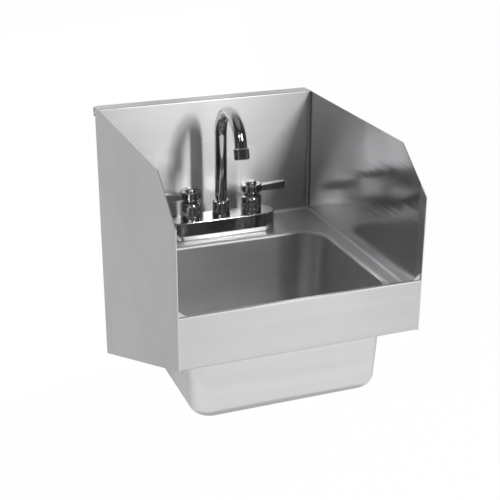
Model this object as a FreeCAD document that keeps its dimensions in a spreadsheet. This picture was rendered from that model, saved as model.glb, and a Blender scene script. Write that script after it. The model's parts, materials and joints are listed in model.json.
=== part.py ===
import FreeCAD, Part
import math
import os
import re
import Sketcher

# Wall-hung hand basin with side splashes and a two-handle centreset faucet.
# Frame: wall plane at y = 0, user at -y, x to the right, deck top at z = 0.

SIZES = {
    # Folded sheet body
    "basin_width": 355.0,
    "basin_depth": 418.0,
    "splash_height": 203.0,
    "sheet_gauge": 1.2,
    "bend_radius": 1.0,
    "cove_radius": 6.0,
    "return_depth": 26.0,
    "lip_height": 16.0,
    "lip_overhang": 2.5,
    "lip_clearance": 0.8,
    "apron_channel": 6.0,
    "apron_rise": 25.0,
    "apron_drop": 52.0,
    "apron_hem": 12.0,
    "relief_radius": 3.0,
    "relief_inset": 5.0,
    "relief_drop": 6.5,
    "gusset_width": 11.0,
    "gusset_height": 9.0,
    "weld_leg": 2.5,
    # Drawn bowl
    "mouth_side": 26.5,
    "mouth_front": 27.0,
    "mouth_setback": 127.0,
    "mouth_corner": 40.0,
    "bowl_depth": 161.5,
    "bowl_draft": 3.6,
    "floor_radius": 20.0,
    "rim_radius": 5.0,
    "rim_flange": 8.0,
    # Side splashes
    "clip_depth": 75.0,
    "clip_height": 58.0,
    "clip_corner": 4.0,
    "splash_tail": 228.0,
    "wall_flange": 20.0,
    "flange_inset": 6.0,
    "wall_hole_radius": 3.6,
    "wall_hole_rise": 38.0,
    # Wall bracket
    "bracket_length": 250.0,
    "bracket_gauge": 2.0,
    "bracket_plate": 45.0,
    "bracket_hook": 11.0,
    "bracket_hole_spacing": 203.2,
    # Drain
    "drain_hole_radius": 23.0,
    "drain_thread_radius": 22.0,
    "drain_flange_radius": 32.0,
    "drain_flange_gauge": 2.5,
    "drain_cup_radius": 19.0,
    "drain_cup_depth": 16.0,
    "drain_thread_length": 28.0,
    "drain_tail_radius": 19.05,
    "drain_bore_radius": 16.5,
    "drain_tail_length": 18.0,
    "drain_gasket_gauge": 3.0,
    "drain_washer_gauge": 1.5,
    "drain_nut_flats": 60.0,
    "drain_nut_height": 10.0,
    "thread_clearance": 0.1,
    "strainer_clearance": 0.4,
    "strainer_gauge": 2.0,
    "strainer_hole_radius": 2.0,
    "strainer_ring_radius": 12.0,
    "strainer_knob_radius": 4.0,
    "strainer_knob_height": 9.0,
    # Faucet base
    "faucet_setback": 84.0,
    "valve_spacing": 101.6,
    "plate_overhang": 38.2,
    "plate_width": 42.0,
    "plate_corner": 20.0,
    "plate_height": 30.0,
    "plate_wall": 3.0,
    "plate_edge": 1.5,
    "gasket_gauge": 0.8,
    "gasket_inset": 1.8,
    "fit_clearance": 0.2,
    # Valve body
    "valve_radius": 12.5,
    "valve_rise": 13.0,
    "socket_radius": 9.0,
    "socket_depth": 16.0,
    "cross_radius": 6.5,
    "cross_height": 10.0,
    "shank_radius": 10.3,
    "shank_length": 42.0,
    "shank_end_radius": 9.5,
    "shank_end_length": 20.0,
    "shank_bore_radius": 5.5,
    "deck_hole_radius": 13.0,
    "shank_washer_radius": 17.0,
    "shank_washer_gauge": 2.0,
    "shank_nut_flats": 32.0,
    "shank_nut_height": 8.0,
    "post_radius": 11.0,
    "post_rise": 4.0,
    "nipple_radius": 7.4,
    "nipple_rise": 15.0,
    "post_bore_radius": 5.0,
    # Bonnets, cartridges and stems
    "bonnet_radius": 16.5,
    "bonnet_wall": 3.0,
    "bonnet_foot": 7.0,
    "bonnet_groove": 0.8,
    "bonnet_ring": 7.5,
    "bonnet_band": 11.0,
    "bonnet_shoulder": 2.0,
    "bonnet_dome": 7.0,
    "bonnet_round": 0.6,
    "bonnet_neck_radius": 10.5,
    "bonnet_neck": 4.0,
    "cartridge_flange_gauge": 2.0,
    "barrel_radius": 7.0,
    "barrel_rise": 10.0,
    "stem_radius": 4.0,
    "running_clearance": 0.06,
    "stem_depth": 14.0,
    "stem_drive": 7.5,
    "seal_bore_radius": 5.0,
    "seal_gauge": 2.2,
    # Lever handles
    "lever_gap": 0.5,
    "lever_head_radius": 16.8,
    "lever_head_height": 12.7,
    "lever_head_edge": 1.5,
    "lever_reach": 56.5,
    "lever_root_width": 14.0,
    "lever_root_height": 8.4,
    "lever_root_rise": 2.0,
    "lever_tip_width": 9.0,
    "lever_tip_height": 13.4,
    "lever_tip_drop": 1.9,
    "lever_edge": 0.9,
    "screw_radius": 2.1,
    "screw_head_radius": 3.8,
    "screw_head_height": 2.2,
    "screw_grip": 8.0,
    "cap_radius": 9.0,
    "cap_height": 4.5,
    "cap_crown": 3.5,
    # Spout
    "collar_foot_radius": 14.5,
    "collar_foot": 4.0,
    "collar_radius": 13.5,
    "collar_height": 25.0,
    "collar_crown": 3.0,
    "collar_cavity_radius": 11.6,
    "collar_cavity": 10.0,
    "tube_radius": 9.5,
    "tube_wall": 1.5,
    "tube_flange_radius": 11.2,
    "tube_flange_gauge": 2.5,
    "tube_seat_gap": 1.0,
    "glide_gauge": 2.0,
    "axial_clearance": 0.3,
    "arch_radius": 45.0,
    "arch_height": 162.0,
    "arch_sweep": 166.0,
    "outlet_length": 8.0,
    "oring_section": 0.9,
    "oring_squeeze": 0.1,
    "oring_pitch": 5.5,
    # Aerator
    "aerator_radius": 11.75,
    "aerator_length": 17.0,
    "aerator_edge": 1.2,
    "aerator_lip": 1.8,
    "aerator_lip_radius": 8.3,
    "tube_engagement": 6.0,
    "aerator_washer_gauge": 1.9,
    "aerator_washer_bore": 6.5,
    "insert_hole_radius": 1.3,
    "insert_ring_radius": 5.5,
}

STRAINER_HOLES = 8
INSERT_HOLES = 8
UP = FreeCAD.Vector(0, 0, 1)

doc = FreeCAD.newDocument("hand_basin")
sheet = doc.addObject("Spreadsheet::Sheet", "sizes")
for row, (alias, number) in enumerate(SIZES.items(), start=1):
    sheet.set(f"A{row}", alias)
    sheet.set(f"B{row}", str(number))
    sheet.setAlias(f"B{row}", alias)
doc.recompute()

finished = []


def tied(text):
    """The expression with each size name read from the sheet."""

    def from_sheet(word):
        name = word.group()
        return f"sizes.{name}" if name in SIZES else name

    return re.sub(r"[a-z_]+", from_sheet, text)


def value(text):
    """What the expression comes to with the sheet's present sizes."""
    return float(sheet.evalExpression(tied(text)))


def bind(item, prop, text):
    item.setExpression(prop, tied(text))


def place(item, x="0", y="0", z="0"):
    """Put an object at a point given by three expressions."""
    for axis, text in zip("xyz", (x, y, z)):
        bind(item, f"Placement.Base.{axis}", text)


def finish(item, label):
    """Name a finished sub-part and remember it for writing."""
    item.Label = label
    finished.append(item)
    return item


# Sketch helpers


def new_sketch(body, plane):
    sketch = body.newObject("Sketcher::SketchObject", f"{body.Name}_sketch")
    support = [feature for feature in body.Origin.OriginFeatures if feature.Role == plane]
    sketch.AttachmentSupport = [(support[0], "")]
    sketch.MapMode = "FlatFace"
    return sketch


def hold(sketch, kind, geometry, point, text):
    """Tie one coordinate of a sketch point to an expression."""
    number = sketch.addConstraint(Sketcher.Constraint(kind, -1, 1, geometry, point, value(text)))
    sketch.setExpression(f"Constraints[{number}]", tied(text))


def add_loop(sketch, corners):
    """A closed run of straight lines through corners given as pairs of expressions."""
    first = sketch.GeometryCount
    points = [FreeCAD.Vector(value(across), value(up), 0) for across, up in corners]
    for start, end in zip(points, points[1:] + points[:1]):
        sketch.addGeometry(Part.LineSegment(start, end))
    for index, (across, up) in enumerate(corners):
        following = first + (index + 1) % len(corners)
        sketch.addConstraint(Sketcher.Constraint("Coincident", first + index, 2, following, 1))
        hold(sketch, "DistanceX", first + index, 1, across)
        hold(sketch, "DistanceY", first + index, 1, up)


def add_circle(sketch, across, up, radius):
    centre = FreeCAD.Vector(value(across), value(up), 0)
    index = sketch.addGeometry(Part.Circle(centre, UP, value(radius)))
    hold(sketch, "DistanceX", index, 3, across)
    hold(sketch, "DistanceY", index, 3, up)
    number = sketch.addConstraint(Sketcher.Constraint("Radius", index, value(radius)))
    sketch.setExpression(f"Constraints[{number}]", tied(radius))


def add_rounded(sketch, half_x, half_y, corner, across="0", up="0"):
    """A rectangle with round corners about a centre, from its half sizes."""
    quarter = math.pi / 2
    sides = ((0, -1), (1, 0), (0, 1), (-1, 0))
    first = sketch.GeometryCount
    for number, (out_x, out_y) in enumerate(sides):
        ends = []
        for turn in (-1, 1):
            step_x = out_x - turn * out_y
            step_y = out_y + turn * out_x
            trim_x = f"{across} + {step_x} * ({half_x}) - {turn} * {-out_y} * ({corner})"
            trim_y = f"{up} + {step_y} * ({half_y}) - {turn} * {out_x} * ({corner})"
            ends.append((trim_x, trim_y))
        points = [FreeCAD.Vector(value(end_x), value(end_y), 0) for end_x, end_y in ends]
        line = sketch.addGeometry(Part.LineSegment(*points))
        for point, (end_x, end_y) in enumerate(ends, start=1):
            hold(sketch, "DistanceX", line, point, end_x)
            hold(sketch, "DistanceY", line, point, end_y)
        sweep_x = out_x - out_y
        sweep_y = out_y + out_x
        centre_x = f"{across} + {sweep_x} * (({half_x}) - ({corner}))"
        centre_y = f"{up} + {sweep_y} * (({half_y}) - ({corner}))"
        centre = FreeCAD.Vector(value(centre_x), value(centre_y), 0)
        circle = Part.Circle(centre, UP, value(corner))
        arc = sketch.addGeometry(Part.ArcOfCircle(circle, (number - 1) * quarter, number * quarter))
        sketch.addConstraint(Sketcher.Constraint("Coincident", line, 2, arc, 1))
        hold(sketch, "DistanceX", arc, 3, centre_x)
    for number in range(len(sides)):
        arc = first + 2 * number + 1
        following = first + (2 * number + 2) % (2 * len(sides))
        sketch.addConstraint(Sketcher.Constraint("Coincident", arc, 2, following, 1))


def rounded_sketch(body, plane, half_x, half_y, corner, across="0", up="0"):
    sketch = new_sketch(body, plane)
    add_rounded(sketch, half_x, half_y, corner, across, up)
    return sketch


def rectangle(low_x, low_y, high_x, high_y):
    return [(low_x, low_y), (high_x, low_y), (high_x, high_y), (low_x, high_y)]


def loop_sketch(body, plane, corners):
    sketch = new_sketch(body, plane)
    add_loop(sketch, corners)
    return sketch


def circle_sketch(body, plane, circles):
    sketch = new_sketch(body, plane)
    for across, up, radius in circles:
        add_circle(sketch, across, up, radius)
    return sketch


# Feature helpers


def new_body(name):
    return doc.addObject("PartDesign::Body", name)


def pad(body, sketch, length, symmetric=False, reverse=False, start="0", taper="0"):
    """A pad of the sketch, which may begin at a distance from the sketch plane."""
    feature = body.newObject("PartDesign::Pad", f"{body.Name}_pad")
    feature.Profile = sketch
    feature.SideType = "Symmetric" if symmetric else "One side"
    feature.Reversed = reverse
    bind(feature, "Length", length)
    bind(feature, "TaperAngle", taper)
    if start != "0":
        bind(sketch, "AttachmentOffset.Base.z", start)
    return feature


def pocket(body, sketch, length, symmetric=False, reverse=False, start="0"):
    """A pocket that has to take material away."""
    doc.recompute()
    before = body.Shape.Volume
    feature = body.newObject("PartDesign::Pocket", f"{body.Name}_pocket")
    feature.Profile = sketch
    feature.SideType = "Symmetric" if symmetric else "One side"
    feature.Reversed = reverse
    bind(feature, "Length", length)
    if start != "0":
        bind(sketch, "AttachmentOffset.Base.z", start)
    doc.recompute()
    if body.Shape.Volume >= before:
        raise ValueError(f"{feature.Name} cuts nothing")
    return feature


def revolve(body, profile):
    """Turn a profile of (radius, height) corners about the body's own z axis."""
    feature = body.newObject("PartDesign::Revolution", f"{body.Name}_turn")
    sketch = loop_sketch(body, "XZ_Plane", profile)
    feature.Profile = sketch
    feature.ReferenceAxis = (sketch, ["V_Axis"])
    feature.Angle = 360
    body.Tip = feature
    return feature


def turned(name, profile, x="0", y="0", z="0"):
    body = new_body(name)
    revolve(body, profile)
    place(body, x, y, z)
    return body


def fillet(body, radius, chosen):
    """Round the edges of the body that the test chooses."""
    doc.recompute()
    base = body.Tip
    names = [f"Edge{number}" for number, edge in enumerate(base.Shape.Edges, start=1) if chosen(edge)]
    if not names:
        raise ValueError(f"no edge to round on {body.Name}")
    feature = body.newObject("PartDesign::Fillet", f"{body.Name}_fillet")
    feature.Base = (base, names)
    bind(feature, "Radius", radius)
    doc.recompute()
    return feature


CLOSE = 1e-4


def runs_along(edge, axis):
    """True for a straight edge parallel to the named axis."""
    if not isinstance(edge.Curve, Part.Line):
        return False
    return abs(abs(getattr(edge.Curve.Direction, axis)) - 1) < CLOSE


def passes(edge, **coordinates):
    """True where the edge's middle has the given coordinates."""
    middle = edge.CenterOfMass
    return all(abs(getattr(middle, axis) - wanted) < CLOSE for axis, wanted in coordinates.items())


def rim(radius, height):
    """A test for the full circle of that radius at that height on a turned piece."""
    wanted_radius = value(radius)
    wanted_height = value(height)

    def chosen(edge):
        if not isinstance(edge.Curve, Part.Circle):
            return False
        same_height = abs(edge.Curve.Center.z - wanted_height) < CLOSE
        return same_height and abs(edge.Curve.Radius - wanted_radius) < CLOSE

    return chosen


def cylinder(name, radius, height, x="0", y="0", z="0"):
    item = doc.addObject("Part::Cylinder", name)
    bind(item, "Radius", radius)
    bind(item, "Height", height)
    place(item, x, y, z)
    return item


def fuse(name, items):
    joined = doc.addObject("Part::MultiFuse", name)
    joined.Shapes = items
    return joined


def cut(name, base, tool):
    result = doc.addObject("Part::Cut", name)
    result.Base = base
    result.Tool = tool
    return result


def group(name, items):
    together = doc.addObject("Part::Compound", name)
    together.Links = items
    return together


def ring(name, outer, inner, height, x="0", y="0", z="0"):
    return turned(name, [(inner, "0"), (outer, "0"), (outer, height), (inner, height)], x, y, z)


def hex_nut(name, flats, bore, height, x, y, z):
    blank = doc.addObject("Part::Prism", f"{name}_blank")
    blank.Polygon = 6
    bind(blank, "Circumradius", f"{flats} / 2 / cos(30 deg)")
    bind(blank, "Height", height)
    place(blank, x, y, z)
    return cut(name, blank, cylinder(f"{name}_bore", bore, height, x, y, z))


# Shared expressions
HALF_WIDTH = "basin_width / 2"
INNER_HALF = "(basin_width / 2 - sheet_gauge)"
OUTER_BEND = "(bend_radius + sheet_gauge)"
RISER = "(basin_depth - apron_channel)"
MOUTH_WIDTH = "(basin_width - 2 * mouth_side)"
MOUTH_LENGTH = f"({RISER} - mouth_setback - mouth_front)"
MOUTH_CENTRE = f"-(mouth_setback + {MOUTH_LENGTH} / 2)"
FAUCET_Y = "-faucet_setback"
VALVE_SIDES = {"left": "-valve_spacing / 2", "right": "valve_spacing / 2"}


def basin_top():
    """One folded sheet: rear lip, top return, backsplash, deck, raised channel, apron and hem."""
    body = new_body("basin_top")
    skin = [
        ("0", "splash_height - lip_height"),
        ("0", "splash_height"),
        ("-return_depth", "splash_height"),
        ("-return_depth", "0"),
        (f"-{RISER}", "0"),
        (f"-{RISER}", "apron_rise"),
        ("-basin_depth", "apron_rise"),
        ("-basin_depth", "-apron_drop"),
        ("-basin_depth + apron_hem", "-apron_drop"),
    ]
    back = [
        ("-basin_depth + apron_hem", "-apron_drop + sheet_gauge"),
        ("-basin_depth + sheet_gauge", "-apron_drop + sheet_gauge"),
        ("-basin_depth + sheet_gauge", "apron_rise - sheet_gauge"),
        (f"-{RISER} - sheet_gauge", "apron_rise - sheet_gauge"),
        (f"-{RISER} - sheet_gauge", "-sheet_gauge"),
        ("-return_depth + sheet_gauge", "-sheet_gauge"),
        ("-return_depth + sheet_gauge", "splash_height - sheet_gauge"),
        ("-sheet_gauge", "splash_height - sheet_gauge"),
        ("-sheet_gauge", "splash_height - lip_height"),
    ]
    pad(body, loop_sketch(body, "YZ_Plane", skin + back), f"2 * {INNER_HALF}", symmetric=True)

    def bends(corners):
        places = [(value(across), value(up)) for across, up in corners]
        return lambda edge: runs_along(edge, "x") and any(passes(edge, y=y, z=z) for y, z in places)

    # Each bend is rounded on its inside and its outside; the cove at the deck is wider.
    fillet(body, OUTER_BEND, bends([skin[1], skin[2], skin[5], skin[6], skin[7], back[4]]))
    fillet(body, "bend_radius", bends([skin[4], back[1], back[2], back[3], back[6], back[7]]))
    fillet(body, "cove_radius", bends([skin[3]]))
    fillet(body, "cove_radius + sheet_gauge", bends([back[5]]))

    # The lip runs past the side splashes, behind their notched rear corners.
    ears = rectangle("-sheet_gauge", "splash_height - lip_height", "0", f"splash_height - {OUTER_BEND}")
    pad(body, loop_sketch(body, "YZ_Plane", ears), "basin_width + 2 * lip_overhang", symmetric=True)

    # Corner gussets fill the ends of the raised channel against the side splashes.
    for side in ("-", ""):
        end = f"{side}{INNER_HALF}"
        near = f"{side}({INNER_HALF} - gusset_width)"
        foot = f"apron_rise - {OUTER_BEND}"
        corners = [(end, foot), (near, foot), (near, "apron_rise"), (end, "apron_rise + gusset_height")]
        sketch = loop_sketch(body, "XZ_Plane", corners)
        pad(body, sketch, f"apron_channel - 2 * {OUTER_BEND}", start=f"{RISER} + {OUTER_BEND}")

    # Welds fill the corners where the side splashes meet the deck and the backsplash.
    for side in ("-", ""):
        end = f"{side}{INNER_HALF}"
        near = f"{side}({INNER_HALF} - weld_leg)"
        along_deck = loop_sketch(body, "XZ_Plane", [(end, "0"), (near, "0"), (end, "weld_leg")])
        pad(body, along_deck, f"{RISER} - return_depth - bend_radius", start="return_depth")
        face = "-return_depth"
        upright = loop_sketch(body, "XY_Plane", [(end, face), (near, face), (end, f"{face} - weld_leg")])
        pad(body, upright, f"splash_height - {OUTER_BEND}")

    opening = rounded_sketch(body, "XY_Plane", *mouth_outline("rim_flange"), up=MOUTH_CENTRE)
    pocket(body, opening, "sheet_gauge")
    holes = [(side, FAUCET_Y, "deck_hole_radius") for side in VALVE_SIDES.values()]
    pocket(body, circle_sketch(body, "XY_Plane", holes), "sheet_gauge")

    # Bend reliefs at the top corners of the backsplash.
    drop = "splash_height - relief_drop"
    reliefs = [(f"{side}({INNER_HALF} - relief_inset)", drop, "relief_radius") for side in ("-", "")]
    sketch = circle_sketch(body, "XZ_Plane", reliefs)
    pocket(body, sketch, "sheet_gauge", reverse=True, start="return_depth")
    return finish(body, "basin_top")


def mouth_outline(margin):
    """Half sizes and corner radius of the bowl's mouth with a margin all round."""
    return f"{MOUTH_WIDTH} / 2 + {margin}", f"{MOUTH_LENGTH} / 2 + {margin}", f"mouth_corner + {margin}"


def tub(name, offset, top):
    """A filled bowl form: a drafted, rounded well under a plate, grown outwards by an offset."""
    body = new_body(name)
    spread = f"({offset}) / cos(bowl_draft * 1 deg)"
    depth = f"bowl_depth + {offset}"
    floor_z = -value(depth)
    mouth_z = -value(offset)
    well = rounded_sketch(body, "XY_Plane", *mouth_outline(spread))
    pad(body, well, depth, reverse=True, taper="-bowl_draft")
    fillet(body, f"floor_radius + {offset}", lambda edge: edge.BoundBox.ZMax < floor_z + CLOSE)
    plate = rounded_sketch(body, "XY_Plane", *mouth_outline("rim_flange"))
    pad(body, plate, f"{top} + {offset}", start=f"-({offset})")
    plate_x = value(f"{MOUTH_WIDTH} / 2 + rim_flange / 2")
    plate_y = value(f"{MOUTH_LENGTH} / 2 + rim_flange / 2")

    def on_mouth(edge):
        box = edge.BoundBox
        level = abs(box.ZMin - mouth_z) < CLOSE and abs(box.ZMax - mouth_z) < CLOSE
        across = max(abs(box.XMin), abs(box.XMax)) < plate_x
        along = max(abs(box.YMin), abs(box.YMax)) < plate_y
        return level and across and along

    fillet(body, f"rim_radius - ({offset})", on_mouth)
    place(body, y=MOUTH_CENTRE)
    return body


def bowl():
    """The drawn bowl: a flush flange, a rolled mouth, drafted walls and a round-edged floor."""
    outside = tub("bowl_outside", "sheet_gauge", "0")
    inside = tub("bowl_inside", "0", "sheet_gauge")
    below = "-1.5 * bowl_depth"
    hole = cylinder("bowl_drain_hole", "drain_hole_radius", "bowl_depth", y=MOUTH_CENTRE, z=below)
    return finish(cut("bowl", outside, fuse("bowl_hollow", [inside, hole])), "bowl")


def side_splash(label, side):
    """A clipped panel that runs down to the wall, with a flange turned in along the wall."""
    sign = "-" if side == "left" else ""
    body = new_body(label)
    notch = "-(sheet_gauge + lip_clearance)"
    outline = [
        ("0", "-splash_tail"),
        ("0", "splash_height - lip_height - lip_clearance"),
        (notch, "splash_height - lip_height - lip_clearance"),
        (notch, "splash_height"),
        ("-basin_depth + clip_depth", "splash_height"),
        ("-basin_depth", "splash_height - clip_height"),
        ("-basin_depth", "-apron_drop"),
    ]
    panel = loop_sketch(body, "YZ_Plane", outline)
    pad(body, panel, "sheet_gauge", start=f"{sign}{HALF_WIDTH}", reverse=side == "right")
    turn = [(value(across), value(up)) for across, up in outline[4:6]]
    fillet(body, "clip_corner", lambda edge: runs_along(edge, "x")
           and any(passes(edge, y=y, z=z) for y, z in turn))
    flange = rectangle(
        f"{sign}({HALF_WIDTH})",
        "-splash_tail + flange_inset",
        f"{sign}({HALF_WIDTH} - wall_flange)",
        "splash_height - lip_height - flange_inset",
    )
    pad(body, loop_sketch(body, "XZ_Plane", flange), "sheet_gauge")
    inner_x = value(f"{sign}{INNER_HALF}")
    inner_y = -value("sheet_gauge")
    fillet(body, "bend_radius", lambda edge: runs_along(edge, "z") and passes(edge, x=inner_x, y=inner_y))
    hole_x = f"{sign}({HALF_WIDTH} - wall_flange / 2)"
    hole = [(hole_x, "-splash_tail + wall_hole_rise", "wall_hole_radius")]
    pocket(body, circle_sketch(body, "XZ_Plane", hole), "sheet_gauge", reverse=True)
    return finish(body, label)


def wall_bracket():
    """A Z clip: a plate on the wall, jogged forward to stand up in front of the basin's rear lip."""
    body = new_body("wall_bracket")
    step = "(sheet_gauge + lip_clearance)"
    jog = "(splash_height - lip_height - sheet_gauge)"
    trim = "bracket_gauge * tan(22.5 deg)"
    profile = [
        ("0", f"{jog} - bracket_plate"),
        ("0", jog),
        (f"-{step}", f"{jog} + {step}"),
        (f"-{step}", f"{jog} + {step} + bracket_hook"),
        (f"-{step} - bracket_gauge", f"{jog} + {step} + bracket_hook"),
        (f"-{step} - bracket_gauge", f"{jog} + {step} - {trim}"),
        ("-bracket_gauge", f"{jog} - {trim}"),
        ("-bracket_gauge", f"{jog} - bracket_plate"),
    ]
    pad(body, loop_sketch(body, "YZ_Plane", profile), "bracket_length", symmetric=True)
    height = f"{jog} - bracket_plate / 2"
    holes = [(f"{sign}bracket_hole_spacing / 2", height, "wall_hole_radius") for sign in ("-", "")]
    pocket(body, circle_sketch(body, "XZ_Plane", holes), "bracket_gauge", reverse=True)
    return finish(body, "wall_bracket")


def drain():
    """Flanged drain with its gasket, friction washer and locknut, and a strainer that lifts out."""
    spot = {"y": MOUTH_CENTRE, "z": "-bowl_depth"}
    bottom = "-(drain_thread_length + drain_tail_length)"
    body = turned("drain_body", [
        ("drain_cup_radius", "drain_flange_gauge"),
        ("drain_flange_radius - drain_flange_gauge", "drain_flange_gauge"),
        ("drain_flange_radius", "0"),
        ("drain_thread_radius", "0"),
        ("drain_thread_radius", "-drain_thread_length"),
        ("drain_tail_radius", "-drain_thread_length"),
        ("drain_tail_radius", bottom),
        ("drain_bore_radius", bottom),
        ("drain_bore_radius", "-drain_cup_depth"),
        ("drain_cup_radius", "-drain_cup_depth"),
    ], **spot)
    finish(body, "drain_body")

    bore = "drain_thread_radius + thread_clearance"
    gasket_top = "-(sheet_gauge + drain_gasket_gauge)"
    spot["z"] = f"-bowl_depth + {gasket_top}"
    finish(ring("drain_gasket", "drain_flange_radius", bore, "drain_gasket_gauge", **spot), "drain_gasket")
    spot["z"] += " - drain_washer_gauge"
    finish(ring("drain_washer", "drain_flange_radius", bore, "drain_washer_gauge", **spot), "drain_washer")
    spot["z"] += " - drain_nut_height"
    nut = hex_nut("drain_locknut", "drain_nut_flats", bore, "drain_nut_height", "0", spot["y"], spot["z"])
    finish(nut, "drain_locknut")

    strainer = turned("drain_strainer", [
        ("0", "0"),
        ("drain_cup_radius - strainer_clearance", "0"),
        ("drain_cup_radius - strainer_clearance", "strainer_gauge"),
        ("strainer_knob_radius / 2", "strainer_gauge"),
        ("strainer_knob_radius / 2", "strainer_knob_height / 2"),
        ("strainer_knob_radius", "strainer_knob_height - strainer_gauge"),
        ("strainer_knob_radius", "strainer_knob_height"),
        ("0", "strainer_knob_height"),
    ], y=MOUTH_CENTRE, z="-bowl_depth - drain_cup_depth + strainer_clearance")
    pierce(strainer, "strainer_ring_radius", "strainer_hole_radius", "strainer_gauge", STRAINER_HOLES)
    finish(strainer, "drain_strainer")


def pierce(body, ring_radius, hole_radius, depth, count):
    """A ring of holes through the foot of a turned piece."""
    sketch = circle_sketch(body, "XY_Plane", [(ring_radius, "0", hole_radius)])
    hole = pocket(body, sketch, depth, reverse=True)
    pattern = body.newObject("PartDesign::PolarPattern", f"{body.Name}_ring")
    pattern.Originals = [hole]
    pattern.Axis = (sketch, ["N_Axis"])
    pattern.Angle = 360
    pattern.Occurrences = count
    body.Tip = pattern
    doc.recompute()


def plate_outline(inset):
    """Half sizes and corner radius of the base plate, drawn in by an inset."""
    half_length = f"valve_spacing / 2 + plate_overhang - {inset}"
    return half_length, f"plate_width / 2 - {inset}", f"plate_corner - {inset}"


def faucet_base():
    """Hollow cover on a flat gasket, with openings for the valves and the spout post."""
    gasket = new_body("faucet_base_gasket")
    pad(gasket, rounded_sketch(gasket, "XY_Plane", *plate_outline("gasket_inset")), "gasket_gauge")
    holes = [(side, "0", "shank_radius + fit_clearance") for side in VALVE_SIDES.values()]
    pocket(gasket, circle_sketch(gasket, "XY_Plane", holes), "gasket_gauge", reverse=True)
    place(gasket, y=FAUCET_Y)
    finish(gasket, "faucet_base_gasket")

    cover = new_body("faucet_base_cover")
    height = "plate_height - gasket_gauge"
    pad(cover, rounded_sketch(cover, "XY_Plane", *plate_outline("0")), height)
    top = value(height)
    fillet(cover, "plate_edge", lambda edge: edge.BoundBox.ZMin > top - CLOSE)
    hollow = rounded_sketch(cover, "XY_Plane", *plate_outline("plate_wall"))
    pocket(cover, hollow, f"{height} - plate_wall", reverse=True)
    holes = [(side, "0", "valve_radius + fit_clearance") for side in VALVE_SIDES.values()]
    holes.append(("0", "0", "post_radius + fit_clearance"))
    pocket(cover, circle_sketch(cover, "XY_Plane", holes), height, reverse=True)
    place(cover, y=FAUCET_Y, z="gasket_gauge")
    finish(cover, "faucet_base_cover")


def valve_body():
    """Brass waterway: two valve columns with supply shanks, a cross tube and the spout post."""
    solids = []
    bores = []
    column_top = "plate_height + valve_rise"
    for side, x in VALVE_SIDES.items():
        spot = {"x": x, "y": FAUCET_Y}
        column = f"{column_top} - gasket_gauge"
        solids.append(cylinder(f"{side}_column", "valve_radius", column, z="gasket_gauge", **spot))
        drop = "(shank_length - shank_end_length)"
        thick = f"{drop} + gasket_gauge"
        solids.append(cylinder(f"{side}_shank", "shank_radius", thick, z=f"-{drop}", **spot))
        tail = cylinder(f"{side}_shank_end", "shank_end_radius", "shank_length", z="-shank_length", **spot)
        solids.append(tail)
        inlet = "shank_length + cross_height"
        bores.append(cylinder(f"{side}_inlet", "shank_bore_radius", inlet, z="-shank_length", **spot))
        socket = f"{column_top} - socket_depth"
        bores.append(cylinder(f"{side}_socket", "socket_radius", "socket_depth", z=socket, **spot))
    cross = cylinder("cross_tube", "cross_radius", "valve_spacing")
    place(cross, "-valve_spacing / 2", FAUCET_Y, "cross_height")
    cross.Placement.Rotation = FreeCAD.Rotation(FreeCAD.Vector(0, 1, 0), 90)
    post_base = "cross_height - cross_radius"
    post = f"plate_height + post_rise - ({post_base})"
    solids += [cross, cylinder("spout_post", "post_radius", post, y=FAUCET_Y, z=post_base)]
    nipple_base = "plate_height + post_rise"
    solids.append(cylinder("spout_nipple", "nipple_radius", "nipple_rise", y=FAUCET_Y, z=nipple_base))
    bore = "plate_height + post_rise + nipple_rise - cross_height"
    bores.append(cylinder("spout_bore", "post_bore_radius", bore, y=FAUCET_Y, z="cross_height"))
    for number, height in enumerate(oring_heights(), start=1):
        groove = ring(f"spout_groove_{number}", "nipple_radius + oring_section", OR_INNER,
                      "2 * (oring_section + oring_squeeze)", y=FAUCET_Y,
                      z=f"{height} - oring_section - oring_squeeze")
        bores.append(groove)
    body = cut("faucet_valve_body", fuse("valve_castings", solids), fuse("valve_bores", bores))
    return finish(body, "faucet_valve_body")


# The O-rings fill the gap between the nipple's grooves and the bore of the tube.
TUBE_BORE = "(tube_radius - tube_wall)"
OR_CENTRE = f"({TUBE_BORE} - oring_squeeze - oring_section)"
OR_INNER = f"({OR_CENTRE} - oring_section - oring_squeeze)"


def oring_heights():
    middle = "(plate_height + post_rise + nipple_rise / 2)"
    return [f"({middle} - oring_pitch / 2)", f"({middle} + oring_pitch / 2)"]


def shank_fixings():
    """A washer and a locknut on each supply shank, under the deck."""
    washers = []
    nuts = []
    washer_z = "-(sheet_gauge + shank_washer_gauge)"
    nut_z = f"{washer_z} - shank_nut_height"
    bore = "shank_radius + thread_clearance"
    for side, x in VALVE_SIDES.items():
        washers.append(ring(f"{side}_shank_washer", "shank_washer_radius", bore, "shank_washer_gauge",
                            x, FAUCET_Y, washer_z))
        nuts.append(hex_nut(f"{side}_shank_nut", "shank_nut_flats", bore, "shank_nut_height",
                            x, FAUCET_Y, nut_z))
    finish(group("shank_washers", washers), "shank_washers")
    finish(group("shank_locknuts", nuts), "shank_locknuts")


def add_up(*names):
    return " + ".join(names)


BONNET_TOP = add_up("bonnet_foot", "bonnet_groove", "bonnet_ring", "bonnet_groove", "bonnet_band",
                    "bonnet_shoulder", "bonnet_neck")
LEVER_BASE = f"plate_height + {BONNET_TOP} + lever_gap"
BARREL_BASE = "valve_rise + cartridge_flange_gauge"


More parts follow.
